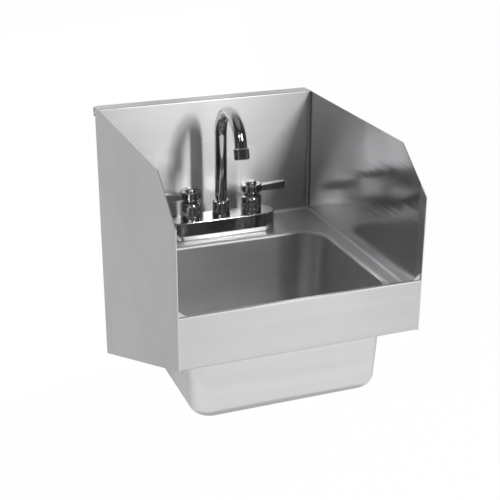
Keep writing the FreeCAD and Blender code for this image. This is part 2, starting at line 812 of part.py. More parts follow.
def bonnet(side):
    """Chrome shroud round a valve column: grooved foot rings, a domed band and a waisted neck."""
    waist = "bonnet_radius - bonnet_groove"
    foot = "bonnet_foot"
    ring_base = add_up(foot, "bonnet_groove")
    ring_top = add_up(ring_base, "bonnet_ring")
    band_base = add_up(ring_top, "bonnet_groove")
    band_top = add_up(band_base, "bonnet_band")
    neck_base = add_up(band_top, "bonnet_shoulder")
    hollow = "bonnet_radius - bonnet_wall"
    barrel_bore = "barrel_radius + fit_clearance"
    roof = add_up(BARREL_BASE, "fit_clearance")
    body = turned(f"{side}_bonnet", [
        (hollow, "0"),
        ("bonnet_radius", "0"),
        ("bonnet_radius", foot),
        (waist, foot),
        (waist, ring_base),
        ("bonnet_radius", ring_base),
        ("bonnet_radius", ring_top),
        (waist, ring_top),
        (waist, band_base),
        ("bonnet_radius", band_base),
        ("bonnet_radius", band_top),
        ("bonnet_neck_radius", neck_base),
        ("bonnet_neck_radius", BONNET_TOP),
        (barrel_bore, BONNET_TOP),
        (barrel_bore, f"{roof} + bonnet_wall"),
        (hollow, roof),
    ], VALVE_SIDES[side], FAUCET_Y, "plate_height")
    fillet(body, "bonnet_dome", rim("bonnet_radius", band_top))
    for height in (foot, ring_base, ring_top, band_base):
        fillet(body, "bonnet_round", rim("bonnet_radius", height))
    return finish(body, f"{side}_bonnet")


def cartridge(side):
    """Quarter-turn valve cartridge seated in its column, with a bored barrel for the stem."""
    seat = "valve_rise - socket_depth + seal_gauge"
    flange = "valve_radius - fit_clearance"
    top = f"{BARREL_BASE} + barrel_rise"
    bore = "stem_radius + running_clearance"
    body = turned(f"{side}_cartridge", [
        ("0", seat),
        ("socket_radius - thread_clearance", seat),
        ("socket_radius - thread_clearance", "valve_rise"),
        (flange, "valve_rise"),
        (flange, BARREL_BASE),
        ("barrel_radius", BARREL_BASE),
        ("barrel_radius", top),
        (bore, top),
        (bore, f"{top} - stem_depth - axial_clearance"),
        ("0", f"{top} - stem_depth - axial_clearance"),
    ], VALVE_SIDES[side], FAUCET_Y, "plate_height")
    return finish(body, f"{side}_cartridge")


def seals():
    rings = []
    height = "plate_height + valve_rise - socket_depth"
    for side, x in VALVE_SIDES.items():
        outer = "socket_radius - thread_clearance"
        rings.append(ring(f"{side}_seal", outer, "seal_bore_radius", "seal_gauge", x, FAUCET_Y, height))
    return finish(group("cartridge_seals", rings), "cartridge_seals")


STEM_TOP = f"{LEVER_BASE} + stem_drive"


def lever_blade(side):
    """A blade that narrows in plan and grows taller from the head to its tip."""
    body = new_body(f"{side}_lever_blade")
    root = "lever_head_radius / 2"
    plan = [
        (root, "-lever_root_width / 2"),
        ("lever_reach", "-lever_tip_width / 2"),
        ("lever_reach", "lever_tip_width / 2"),
        (root, "lever_root_width / 2"),
    ]
    pad(body, loop_sketch(body, "XY_Plane", plan), "lever_tip_height")
    over = [(root, "lever_tip_height"), ("lever_reach", "lever_tip_height")]
    over.append((root, "lever_root_rise + lever_root_height"))
    under = [(root, "0"), ("lever_reach", "0"), (root, "lever_root_rise")]
    for slope in (over, under):
        pocket(body, loop_sketch(body, "XZ_Plane", slope), "lever_root_width", symmetric=True)
    start = value(root)
    fillet(body, "lever_edge", lambda edge: edge.BoundBox.XMax > start + CLOSE)
    return body


def handle(side):
    """Stem, lever, screw and cap, which turn together about the valve axis."""
    x = VALVE_SIDES[side]
    barrel_top = f"plate_height + {BARREL_BASE} + barrel_rise"
    stem_foot = f"({barrel_top} - stem_depth)"
    tapped = "screw_radius + thread_clearance"
    stem_top = f"({STEM_TOP})"
    stem = turned(f"{side}_stem", [
        ("0", stem_foot),
        ("stem_radius", stem_foot),
        ("stem_radius", stem_top),
        (tapped, stem_top),
        (tapped, f"{stem_top} - screw_grip - thread_clearance"),
        ("0", f"{stem_top} - screw_grip - thread_clearance"),
    ], x, FAUCET_Y)
    finish(stem, f"{side}_stem")

    base = f"({LEVER_BASE})"
    top = f"({base} + lever_head_height)"
    seat = f"({top} - screw_head_height - axial_clearance)"
    recess = "screw_head_radius + fit_clearance"
    drive = "stem_radius + thread_clearance"
    roof = f"{stem_top} + thread_clearance"
    head = turned(f"{side}_lever_head", [
        (drive, base),
        ("lever_head_radius - lever_head_edge", base),
        ("lever_head_radius", f"{base} + lever_head_edge"),
        ("lever_head_radius", f"{top} - lever_head_edge"),
        ("lever_head_radius - lever_head_edge", top),
        (recess, top),
        (recess, seat),
        (tapped, seat),
        (tapped, roof),
        (drive, roof),
    ], x, FAUCET_Y)
    blade = lever_blade(side)
    place(blade, x, FAUCET_Y, f"{base} - lever_tip_drop")
    if side == "left":
        blade.Placement.Rotation = FreeCAD.Rotation(UP, 180)
    finish(fuse(f"{side}_lever", [head, blade]), f"{side}_lever")

    head_base = f"{seat} + thread_clearance"
    screw = turned(f"{side}_handle_screw", [
        ("0", f"{stem_top} - screw_grip"),
        ("screw_radius", f"{stem_top} - screw_grip"),
        ("screw_radius", head_base),
        ("screw_head_radius", head_base),
        ("screw_head_radius", f"{seat} + screw_head_height"),
        ("0", f"{seat} + screw_head_height"),
    ], x, FAUCET_Y)
    finish(screw, f"{side}_handle_screw")

    cap = turned(f"{side}_index_cap", [
        ("0", top),
        ("cap_radius", top),
        ("cap_radius", f"{top} + cap_height"),
        ("0", f"{top} + cap_height"),
    ], x, FAUCET_Y)
    fillet(cap, "cap_crown", rim("cap_radius", f"{top} + cap_height"))
    finish(cap, f"{side}_index_cap")


COLLAR_SHOULDER = "(plate_height + collar_cavity)"
TUBE_FOOT = "(plate_height + post_rise + tube_seat_gap)"


def spout_mount():
    """Collar nut over the post, with the O-rings and the glide ring that let the spout swivel."""
    base = "plate_height"
    top = f"({base} + collar_height)"
    collar = turned("spout_collar", [
        ("collar_cavity_radius", base),
        ("collar_foot_radius", base),
        ("collar_foot_radius", f"{base} + collar_foot"),
        ("collar_radius", f"{base} + collar_foot"),
        ("collar_radius", top),
        ("tube_radius + running_clearance", top),
        ("tube_radius + running_clearance", COLLAR_SHOULDER),
        ("collar_cavity_radius", COLLAR_SHOULDER),
    ], y=FAUCET_Y)
    fillet(collar, "collar_crown", rim("collar_radius", top))
    finish(collar, "spout_collar")

    rings = []
    for number, height in enumerate(oring_heights(), start=1):
        torus = doc.addObject("Part::Torus", f"spout_o_ring_{number}")
        bind(torus, "Radius1", OR_CENTRE)
        bind(torus, "Radius2", "oring_section")
        place(torus, y=FAUCET_Y, z=height)
        rings.append(torus)
    finish(group("spout_o_rings", rings), "spout_o_rings")


def spout():
    """Gooseneck: a flanged riser, a wide bend and an outlet that leans forward into its aerator."""
    body = new_body("spout_tube")
    place(body, y=FAUCET_Y)
    bend_y, bend_z = spout_end("0")
    end_y, end_z = spout_end("outlet_length + tube_engagement")
    foot, rise, bend, end = [
        FreeCAD.Vector(value(y), value(z), 0)
        for y, z in (("0", TUBE_FOOT), ("0", "arch_height"), (bend_y, bend_z), (end_y, end_z))
    ]
    centre = FreeCAD.Vector(-value("arch_radius"), value("arch_height"), 0)
    circle = Part.Circle(centre, UP, value("arch_radius"))
    path = new_sketch(body, "YZ_Plane")
    riser = path.addGeometry(Part.LineSegment(foot, rise))
    arch = path.addGeometry(Part.ArcOfCircle(circle, 0, math.radians(value("arch_sweep"))))
    outlet = path.addGeometry(Part.LineSegment(bend, end))
    path.addConstraint(Sketcher.Constraint("Coincident", riser, 2, arch, 1))
    path.addConstraint(Sketcher.Constraint("Coincident", arch, 2, outlet, 1))
    hold(path, "DistanceX", riser, 1, "0")
    hold(path, "DistanceY", riser, 1, TUBE_FOOT)
    hold(path, "DistanceX", riser, 2, "0")
    hold(path, "DistanceY", riser, 2, "arch_height")
    hold(path, "DistanceX", arch, 3, "-arch_radius")
    hold(path, "DistanceY", arch, 3, "arch_height")
    hold(path, "DistanceY", arch, 2, bend_z)
    hold(path, "DistanceX", outlet, 2, end_y)
    hold(path, "DistanceY", outlet, 2, end_z)
    section = circle_sketch(body, "XY_Plane", [("0", "0", "tube_radius"), ("0", "0", TUBE_BORE)])
    bind(section, "AttachmentOffset.Base.z", TUBE_FOOT)
    tube = body.newObject("PartDesign::AdditivePipe", "spout_tube_pipe")
    tube.Profile = section
    tube.Spine = (path, ["Edge1", "Edge2", "Edge3"])
    body.Tip = tube
    doc.recompute()
    flange = circle_sketch(body, "XY_Plane", [("0", "0", "tube_flange_radius"), ("0", "0", TUBE_BORE)])
    pad(body, flange, "tube_flange_gauge", start=TUBE_FOOT)
    finish(body, "spout_tube")

    glide_z = f"{TUBE_FOOT} + tube_flange_gauge + axial_clearance"
    glide = ring("spout_glide_ring", "tube_flange_radius", "tube_radius + thread_clearance",
                 "glide_gauge - axial_clearance", y=FAUCET_Y, z=glide_z)
    finish(glide, "spout_glide_ring")


def spout_end(past):
    """A point on the outlet's centre line, that far past the end of the bend."""
    turn = "arch_sweep * 1 deg"
    y = f"-arch_radius + arch_radius * cos({turn}) - ({past}) * sin({turn})"
    z = f"arch_height + arch_radius * sin({turn}) + ({past}) * cos({turn})"
    return y, z


def on_outlet(body, past):
    """Seat a turned piece on the leaning outlet, its own z axis pointing out of the spout."""
    y, z = spout_end(past)
    place(body, y=f"-faucet_setback + {y}", z=z)
    body.Placement.Rotation = FreeCAD.Rotation(FreeCAD.Vector(1, 0, 0), value("arch_sweep"))
    bind(body, "Placement.Rotation.Angle", "arch_sweep")


def aerator():
    """Outlet ring with a rubber washer and a pierced insert, held by an inner lip."""
    cavity = "tube_radius + thread_clearance"
    lip = "aerator_length - aerator_lip"
    housing = turned("aerator_housing", [
        (cavity, "0"),
        ("aerator_radius - aerator_edge", "0"),
        ("aerator_radius", "aerator_edge"),
        ("aerator_radius", "aerator_length - aerator_edge"),
        ("aerator_radius - aerator_edge", "aerator_length"),
        ("aerator_lip_radius", "aerator_length"),
        ("aerator_lip_radius", lip),
        (cavity, lip),
    ])
    on_outlet(housing, "outlet_length")
    finish(housing, "aerator_housing")

    washer = ring("aerator_washer", "tube_radius", "aerator_washer_bore", "aerator_washer_gauge")
    on_outlet(washer, "outlet_length + tube_engagement + thread_clearance")
    finish(washer, "aerator_washer")

    insert_base = "tube_engagement + aerator_washer_gauge + 2 * thread_clearance"
    height = f"{lip} - ({insert_base}) - thread_clearance"
    insert = turned("aerator_insert", [
        ("0", "0"),
        ("tube_radius", "0"),
        ("tube_radius", height),
        ("0", height),
    ])
    pierce(insert, "insert_ring_radius", "insert_hole_radius", height, INSERT_HOLES)
    on_outlet(insert, f"outlet_length + {insert_base}")
    finish(insert, "aerator_insert")


def check_and_write():
    """Refuse to write anything unless every object and every sub-part is sound."""
    doc.recompute()
    for item in doc.Objects:
        if "Invalid" in item.State or "Error" in item.State:
            raise ValueError(f"{item.Name} failed: {item.State}")
    for item in finished:
        if item.Shape.isNull() or not item.Shape.isValid() or not item.Shape.Solids:
            raise ValueError(f"{item.Label} has no valid solid")
    os.makedirs("parts", exist_ok=True)
    for item in finished:
        item.Shape.exportStep(f"parts/{item.Label}.step")


basin_top()
bowl()
for splash_side in VALVE_SIDES:
    side_splash(f"{splash_side}_side_splash", splash_side)
wall_bracket()
drain()
faucet_base()
valve_body()
shank_fixings()
seals()
for valve_side in VALVE_SIDES:
    bonnet(valve_side)
    cartridge(valve_side)
    handle(valve_side)
spout_mount()
spout()
aerator()
check_and_write()
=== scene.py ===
import json
import math

import bmesh
import bpy
from mathutils import Matrix, Quaternion, Vector


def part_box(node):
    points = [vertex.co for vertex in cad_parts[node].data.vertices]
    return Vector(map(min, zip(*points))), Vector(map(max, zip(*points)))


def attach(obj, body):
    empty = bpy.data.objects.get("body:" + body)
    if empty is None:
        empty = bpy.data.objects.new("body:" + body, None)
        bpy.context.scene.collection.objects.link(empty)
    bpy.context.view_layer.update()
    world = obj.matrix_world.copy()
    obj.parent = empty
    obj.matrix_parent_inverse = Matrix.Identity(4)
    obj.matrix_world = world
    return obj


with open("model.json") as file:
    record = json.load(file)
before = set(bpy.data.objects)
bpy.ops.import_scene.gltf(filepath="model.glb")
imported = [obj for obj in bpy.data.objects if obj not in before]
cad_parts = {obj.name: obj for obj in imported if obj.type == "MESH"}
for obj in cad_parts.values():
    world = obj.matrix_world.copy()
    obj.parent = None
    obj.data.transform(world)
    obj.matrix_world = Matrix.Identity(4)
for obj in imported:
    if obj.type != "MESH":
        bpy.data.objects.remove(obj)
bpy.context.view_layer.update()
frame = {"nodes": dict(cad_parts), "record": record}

NODES = frame["nodes"]
MOUNTS = {mount["name"]: mount for mount in frame["record"]["mounts"]}

# Looks of a wall-hung stainless hand basin with a chrome two-handle faucet.
# Row frame, metres: wall plane at y = 0, user at -y, deck top at z = 0.


# Shader building


def link(tree, source, target):
    """Join an output socket to an input socket."""
    tree.links.new(source, target)


def add_node(tree, kind, **settings):
    """A new node with its settings made."""
    node = tree.nodes.new(kind)
    for name, setting in settings.items():
        setattr(node, name, setting)
    return node


def math_node(tree, operation, first, second=None):
    """A math node whose inputs are sockets or plain numbers."""
    node = add_node(tree, "ShaderNodeMath", operation=operation)
    for socket, given in zip(node.inputs, (first, second)):
        if given is None:
            continue
        if isinstance(given, (int, float)):
            socket.default_value = given
        else:
            link(tree, given, socket)
    return node.outputs[0]


def total(tree, first, *others):
    """The sum of sockets and plain numbers."""
    for other in others:
        first = math_node(tree, "ADD", first, other)
    return first


def product(tree, first, *others):
    """The product of sockets and plain numbers."""
    for other in others:
        first = math_node(tree, "MULTIPLY", first, other)
    return first


def largest(tree, first, *others):
    """The largest of several sockets."""
    for other in others:
        first = math_node(tree, "MAXIMUM", first, other)
    return first


def remap(tree, source, low, high, new_low=0.0, new_high=1.0):
    """Smoothly map a value's range on to another range."""
    node = add_node(tree, "ShaderNodeMapRange", interpolation_type="SMOOTHSTEP")
    link(tree, source, node.inputs["Value"])
    limits = {"From Min": low, "From Max": high, "To Min": new_low, "To Max": new_high}
    for name, number in limits.items():
        node.inputs[name].default_value = number
    return node.outputs["Result"]


def noise(tree, vector, scale, detail=3.0, rough=0.55):
    """Soft noise from 0 to 1, most of it near the middle."""
    node = add_node(tree, "ShaderNodeTexNoise")
    link(tree, vector, node.inputs["Vector"])
    node.inputs["Scale"].default_value = scale
    node.inputs["Detail"].default_value = detail
    node.inputs["Roughness"].default_value = rough
    return node.outputs["Fac"]


def mix_colour(tree, factor, first, second):
    """Blend two colours, each a socket or a plain triple."""
    node = add_node(tree, "ShaderNodeMix", data_type="RGBA")
    link(tree, factor, node.inputs["Factor"])
    colours = [socket for socket in node.inputs if socket.type == "RGBA"]
    for socket, given in zip(colours, (first, second)):
        if isinstance(given, tuple):
            socket.default_value = (*given, 1.0)
        else:
            link(tree, given, socket)
    return [socket for socket in node.outputs if socket.type == "RGBA"][0]


def new_group(name, vectors, masks):
    """An empty shader group with named vectors in and masks out; returns it with its end sockets."""
    tree = bpy.data.node_groups.new(name, "ShaderNodeTree")
    for label in vectors:
        tree.interface.new_socket(label, in_out="INPUT", socket_type="NodeSocketVector")
    for label in masks:
        tree.interface.new_socket(label, in_out="OUTPUT", socket_type="NodeSocketFloat")
    given = tree.nodes.new("NodeGroupInput").outputs
    result = tree.nodes.new("NodeGroupOutput").inputs
    return tree, given, result


# Effects that several finishes share

# Spans are parts of a noise value or of a cell's radius.
SMEAR_SPAN = (0.35, 0.7)
SPOT_CELLS = 70.0
SPOT_EDGE = (0.08, 0.16)
SPOT_PLACES = (0.55, 0.7)


def grain_group():
    """Brush lines: long in one direction and fine in the others, with slow bands behind them."""
    tree, given, result = new_group("brush_lines", ["Vector", "Stretch"], ["Lines", "Ripple", "Bands"])
    drawn = add_node(tree, "ShaderNodeVectorMath", operation="MULTIPLY")
    link(tree, given["Vector"], drawn.inputs[0])
    link(tree, given["Stretch"], drawn.inputs[1])
    along = drawn.outputs[0]
    link(tree, noise(tree, along, scale=1.0, detail=4.0, rough=0.7), result["Lines"])
    link(tree, noise(tree, along, scale=0.4, detail=2.0), result["Ripple"])
    link(tree, noise(tree, along, scale=0.06, detail=2.0), result["Bands"])
    return tree


def handling_group():
    """Faint smears and water spots left by use, as masks from 0 to 1."""
    tree, given, result = new_group("handling_marks", ["Vector"], ["Smear", "Spots"])
    slow = noise(tree, given["Vector"], scale=9.0, detail=4.0)
    link(tree, remap(tree, slow, *SMEAR_SPAN), result["Smear"])
    cells = add_node(tree, "ShaderNodeTexVoronoi", feature="F1")
    link(tree, given["Vector"], cells.inputs["Vector"])
    cells.inputs["Scale"].default_value = SPOT_CELLS
    round_spots = remap(tree, cells.outputs["Distance"], *SPOT_EDGE, 1.0, 0.0)
    where = remap(tree, noise(tree, given["Vector"], scale=14.0), *SPOT_PLACES)
    link(tree, product(tree, round_spots, where), result["Spots"])
    return tree


GRAIN = grain_group()
HANDLING = handling_group()


class Finish:
    """One material under construction, with its Principled shader and object coordinates."""

    def __init__(self, name, metallic=0.0, **sockets):
        self.material = bpy.data.materials.new(name)
        self.material.use_nodes = True
        self.tree = self.material.node_tree
        self.shader = self.tree.nodes["Principled BSDF"]
        self.shader.inputs["Metallic"].default_value = metallic
        for label, setting in sockets.items():
            self.shader.inputs[label.replace("_", " ")].default_value = setting
        self.place = add_node(self.tree, "ShaderNodeTexCoord").outputs["Object"]

    def grouped(self, group, **vectors):
        """The outputs of a shared effect, placed in this material with its own values."""
        node = add_node(self.tree, "ShaderNodeGroup", node_tree=group)
        link(self.tree, self.place, node.inputs["Vector"])
        for label, setting in vectors.items():
            node.inputs[label].default_value = setting
        return node.outputs

    def colour(self, source):
        link(self.tree, source, self.shader.inputs["Base Color"])

    def rough(self, source):
        link(self.tree, source, self.shader.inputs["Roughness"])

    def bump(self, height, strength, distance):
        node = add_node(self.tree, "ShaderNodeBump")
        node.inputs["Strength"].default_value = strength
        node.inputs["Distance"].default_value = distance
        link(self.tree, height, node.inputs["Height"])
        link(self.tree, node.outputs["Normal"], self.shader.inputs["Normal"])

    def axis(self, label):
        """One coordinate of the surface point, in metres."""
        parts = add_node(self.tree, "ShaderNodeSeparateXYZ")
        link(self.tree, self.place, parts.inputs[0])
        return parts.outputs[label]

    def below(self, label, low, high):
        """A mask that is 1 where a coordinate is under its low limit and fades to 0 at the high one."""
        return remap(self.tree, self.axis(label), low, high, 1.0, 0.0)

    def above(self, label, low, high):
        """A mask that is 0 where a coordinate is under its low limit and grows to 1 at the high one."""
        return remap(self.tree, self.axis(label), low, high)


# Finishes

NOISE_SPAN = (0.3, 0.7)
QUARTER_TURN = 0.25
COOL_TINT = 1.01
SHEET_WEAR = 0.05

# Grain: noise cells per metre along x, y and z.
ALONG_X = (9.0, 900.0, 900.0)
ALONG_Y = (300.0, 9.0, 300.0)
BOWL_GRAIN = (40.0, 600.0, 600.0)
TURNED_GRAIN = (60.0, 60.0, 2200.0)

# The apron's rubbed front and the bend at its top.
APRON_FRONT = ("Y", -0.412, -0.404)
APRON_SHEEN = 0.14
BEND_ZONE = (0.0215, 0.0235)
BEND_DULLING = 0.18

# The side panels' lighter, duller front edges, and the waviness of their sheet.
PANEL_FRONT = ("Y", -0.402, -0.398)
PANEL_FRONT_TONE = (0.74, 0.74, 0.745)
PANEL_FRONT_SHARE = 0.7
PANEL_FRONT_DULLING = 0.12
PANEL_RIPPLE = 0.0002

# Painted crevice shade along the joint of side panel and backsplash, between limits in x, y and z.
SEAM_SHADE_TONE = (0.05, 0.05, 0.05)
SEAM_SHADE_STRENGTH = 0.8
SEAM_SIDE = (0.1766, 0.1772)
SEAM_FRONT = (-0.04, -0.032)
SEAM_REAR = (-0.0262, -0.025)
SEAM_FOOT = (-0.001, 0.001)

# The bowl: its roughness grows along y, over the range BOWL_TURN.
BOWL_DARK = (0.66, 0.66, 0.665)
BOWL_LIGHT = (0.71, 0.71, 0.715)
BOWL_TURN = (-0.33, -0.2)
BOWL_SHEEN = (0.12, 0.42)
BOWL_WEAR = 0.04
RIM_ZONE = (-0.007, -0.002)
RIM_DULLING = 0.14
SPOT_TONE = (0.72, 0.72, 0.71)
SPOT_SHARE = 0.35
SPOT_DULLING = 0.15

CHROME_CLEAN = (0.5, 0.505, 0.51)
CHROME_SMEARED = (0.46, 0.465, 0.47)
CHROME_SHEEN = (0.025, 0.07)
CHROME_SPOT_DULLING = 0.12

METAL_FILM = 0.15
MOULD_SPREAD = 0.12


def seam_shade_mask(steel):
    """A mask of painted crevice shade along the joint of side panel and backsplash, on the panel's inner
    face above the deck.
    """
    tree = steel.tree
    sideways = math_node(tree, "ABSOLUTE", steel.axis("X"))
    inside = remap(tree, sideways, *SEAM_SIDE, SEAM_SHADE_STRENGTH, 0.0)
    front = steel.above("Y", *SEAM_FRONT)
    rear = steel.below("Y", *SEAM_REAR)
    foot = steel.above("Z", *SEAM_FOOT)
    return product(tree, front, rear, foot, inside)


def brushed_sheet(name, stretch, turn, tone, rough, smear, pale_front=None, rubbed=None, seam_shade=False,
                  ripple=None):
    """Satin sheet with brush lines.

    ground names the axis and limits of a lighter, duller front band, rubbed those of a polished front.
    seam paints crevice shade along the joint with the backsplash. ripple is the depth of a waviness
    that takes the place of the fine relief.
    """
    steel = Finish(name, metallic=1.0, Anisotropic=smear, Anisotropic_Rotation=turn)
    tree = steel.tree
    lines = steel.grouped(GRAIN, Stretch=stretch)
    marks = steel.grouped(HANDLING)
    dark, light = tone
    tint = product(tree, total(tree, lines["Lines"], lines["Bands"]), 0.5)
    shade = mix_colour(tree, remap(tree, tint, *NOISE_SPAN),
                       (dark, dark, dark * COOL_TINT), (light, light, light * COOL_TINT))
    roughness = total(tree, remap(tree, lines["Bands"], *NOISE_SPAN, *rough),
                      product(tree, marks["Smear"], SHEET_WEAR))
    # A lighter, duller band along the panel's front edge.
    if pale_front:
        band = steel.below(*pale_front)
        shade = mix_colour(tree, product(tree, band, PANEL_FRONT_SHARE), shade, PANEL_FRONT_TONE)
        roughness = total(tree, roughness, product(tree, band, PANEL_FRONT_DULLING))
    if rubbed:
        change = remap(tree, steel.axis("Z"), *BEND_ZONE, -APRON_SHEEN, BEND_DULLING)
        roughness = total(tree, roughness, product(tree, steel.below(*rubbed), change))
    # Painted crevice shade: the panel is darkened along its joint with the backsplash.
    if seam_shade:
        shade = mix_colour(tree, seam_shade_mask(steel), shade, SEAM_SHADE_TONE)
    steel.colour(shade)
    steel.rough(roughness)
    if ripple:
        steel.bump(lines["Ripple"], strength=1.0, distance=ripple)
    else:
        steel.bump(lines["Lines"], strength=0.03, distance=0.0001)
    return steel.material


def drawn_bowl():
    """Deep-drawn satin steel: duller towards the rear and on its rim, with dried water spots."""
    steel = Finish("drawn_bowl_satin", metallic=1.0)
    tree = steel.tree
    lines = steel.grouped(GRAIN, Stretch=BOWL_GRAIN)
    marks = steel.grouped(HANDLING)
    shade = mix_colour(tree, remap(tree, lines["Bands"], *NOISE_SPAN), BOWL_DARK, BOWL_LIGHT)
    steel.colour(mix_colour(tree, product(tree, marks["Spots"], SPOT_SHARE), shade, SPOT_TONE))
    base = remap(tree, steel.axis("Y"), *BOWL_TURN, *BOWL_SHEEN)
    rim = remap(tree, steel.axis("Z"), *RIM_ZONE, 0.0, RIM_DULLING)
    worn = total(tree, product(tree, marks["Smear"], BOWL_WEAR),
                 product(tree, marks["Spots"], SPOT_DULLING))
    steel.rough(total(tree, base, worn, rim))
    steel.bump(lines["Lines"], strength=0.08, distance=0.0002)
    return steel.material


def chrome_plate():
    """Mirror chrome with a slow waviness from polishing, faint smears and a few dried drops."""
    chrome = Finish("chrome_plate", metallic=1.0)
    tree = chrome.tree
    marks = chrome.grouped(HANDLING)
    chrome.colour(mix_colour(tree, marks["Smear"], CHROME_CLEAN, CHROME_SMEARED))
    chrome.rough(total(tree, remap(tree, marks["Smear"], 0.0, 1.0, *CHROME_SHEEN),
                       product(tree, marks["Spots"], CHROME_SPOT_DULLING)))
    chrome.bump(noise(tree, chrome.place, scale=160.0, detail=1.0), strength=0.03, distance=0.0004)
    return chrome.material


def machined_metal(name, dull, clean, rough):
    """Turned or sawn metal with fine rings and a dull film."""
    metal = Finish(name, metallic=1.0)
    tree = metal.tree
    lines = metal.grouped(GRAIN, Stretch=TURNED_GRAIN)
    marks = metal.grouped(HANDLING)
    metal.colour(mix_colour(tree, remap(tree, lines["Lines"], *NOISE_SPAN), dull, clean))
    metal.rough(remap(tree, marks["Smear"], 0.0, 1.0, rough, rough + METAL_FILM))
    metal.bump(lines["Lines"], strength=0.15, distance=0.0002)
    return metal.material


def moulded(name, dark, light, rough, speck):
    """Moulded rubber or plastic with a fine speckled skin."""
    skin = Finish(name)
    tree = skin.tree
    grain = noise(tree, skin.place, speck, detail=5.0)
    skin.colour(mix_colour(tree, remap(tree, grain, *NOISE_SPAN), dark, light))
    skin.rough(remap(tree, grain, *NOISE_SPAN, rough, rough + MOULD_SPREAD))
    skin.bump(grain, strength=0.2, distance=0.0002)
    return skin.material


FINISHES = {
    "folded": brushed_sheet("brushed_folded_sheet", ALONG_X, QUARTER_TURN, tone=(0.61, 0.65),
                            rough=(0.41, 0.45), smear=0.78, rubbed=APRON_FRONT),
    "panel": brushed_sheet("brushed_side_panel", ALONG_Y, 0.0, tone=(0.6, 0.64), rough=(0.15, 0.17),
                           smear=0.75, pale_front=PANEL_FRONT, seam_shade=True, ripple=PANEL_RIPPLE),
    "bowl": drawn_bowl(),
    "chrome": chrome_plate(),
    "bracket": brushed_sheet("mill_bracket", ALONG_X, QUARTER_TURN, tone=(0.5, 0.56), rough=(0.4, 0.5),
                             smear=0.55),
    "drain": machined_metal("polished_drain", (0.6, 0.6, 0.6), (0.7, 0.7, 0.7), rough=0.14),
    "brass": machined_metal("dull_brass", (0.42, 0.3, 0.12), (0.62, 0.47, 0.22), rough=0.3),
    "zinc": machined_metal("zinc_plate", (0.5, 0.5, 0.51), (0.62, 0.62, 0.63), rough=0.3),
    "rubber": moulded("black_rubber", (0.012, 0.012, 0.013), (0.03, 0.03, 0.031), rough=0.6, speck=900.0),
    "plastic": moulded("white_plastic", (0.74, 0.74, 0.72), (0.82, 0.82, 0.8), rough=0.4, speck=700.0),
}
SLOT_FINISH = {
    "sheet_steel": "folded",
    "bracket_steel": "bracket",
    "chrome": "chrome",
    "brass": "brass",
    "screw_steel": "zinc",
    "rubber": "rubber",
    "white_plastic": "plastic",
}
NODE_FINISH = {
    "bowl": "bowl",
    "left_side_splash": "panel",
    "right_side_splash": "panel",
    "drain_body": "drain",
    "drain_strainer": "drain",
}


def dress_nodes():
    """Give every sub-part its finish."""
    for entry in frame["record"]["subparts"]:
        name = entry["node"]
        chosen = NODE_FINISH.get(name, SLOT_FINISH[entry["material_slot"]])
        mesh = NODES[name].data
        mesh.materials.clear()
        mesh.materials.append(FINISHES[chosen])


# Screw threads

THREAD_STEPS = 28
THREAD_SIDES = 6
THREAD_SETBACK = 0.0006
RIDGE_SHARE = 0.3
SHANK_COUNT = 2
SHANK_RADIUS = 0.0103
SHANK_PITCH = 0.00181
DRAIN_RADIUS = 0.022
DRAIN_PITCH = 0.0022
MM_PER_METRE = 1000.0


def thread_tree():
    """Ridges wound round an upright shank, repeated along a row, from named sizes."""
    tree = bpy.data.node_groups.new("screw_threads", "GeometryNodeTree")
    sizes = {
        "Radius": "Float",
        "Turns": "Float",
        "Height": "Float",
        "Ridge": "Float",
        "Count": "Int",
        "Spacing": "Vector",
        "Foot": "Vector",
        "Finish": "Material",
    }
    for label, kind in sizes.items():
        tree.interface.new_socket(label, in_out="INPUT", socket_type=f"NodeSocket{kind}")
    tree.interface.new_socket("Geometry", in_out="OUTPUT", socket_type="NodeSocketGeometry")
    given = tree.nodes.new("NodeGroupInput").outputs
    wound = add_node(tree, "GeometryNodeCurveSpiral")
    wound.inputs["Resolution"].default_value = THREAD_STEPS
    link(tree, given["Turns"], wound.inputs["Rotations"])
    link(tree, given["Radius"], wound.inputs["Start Radius"])
    link(tree, given["Radius"], wound.inputs["End Radius"])
    link(tree, given["Height"], wound.inputs["Height"])
    section = add_node(tree, "GeometryNodeCurvePrimitiveCircle")
    section.inputs["Resolution"].default_value = THREAD_SIDES
    link(tree, given["Ridge"], section.inputs["Radius"])
    swept = add_node(tree, "GeometryNodeCurveToMesh")
    swept.inputs["Fill Caps"].default_value = True
    link(tree, wound.outputs["Curve"], swept.inputs["Curve"])
    link(tree, section.outputs["Curve"], swept.inputs["Profile Curve"])
    row = add_node(tree, "GeometryNodeMeshLine", mode="OFFSET")
    link(tree, given["Count"], row.inputs["Count"])
    link(tree, given["Foot"], row.inputs["Start Location"])
    link(tree, given["Spacing"], row.inputs["Offset"])
    repeated = add_node(tree, "GeometryNodeInstanceOnPoints")
    link(tree, row.outputs["Mesh"], repeated.inputs["Points"])
    link(tree, swept.outputs["Mesh"], repeated.inputs["Instance"])
    plain = add_node(tree, "GeometryNodeRealizeInstances")
    link(tree, repeated.outputs["Instances"], plain.inputs["Geometry"])
    coated = add_node(tree, "GeometryNodeSetMaterial")
    link(tree, plain.outputs["Geometry"], coated.inputs["Geometry"])
    link(tree, given["Finish"], coated.inputs["Material"])
    link(tree, coated.outputs["Geometry"], tree.nodes.new("NodeGroupOutput").inputs["Geometry"])
    return tree


THREADS = thread_tree()


def face_outwards(mesh):
    """Turn every face of a closed mesh outwards."""
    shape = bmesh.new()
    shape.from_mesh(mesh)
    bmesh.ops.recalc_face_normals(shape, faces=shape.faces)
    shape.to_mesh(mesh)
    shape.free()


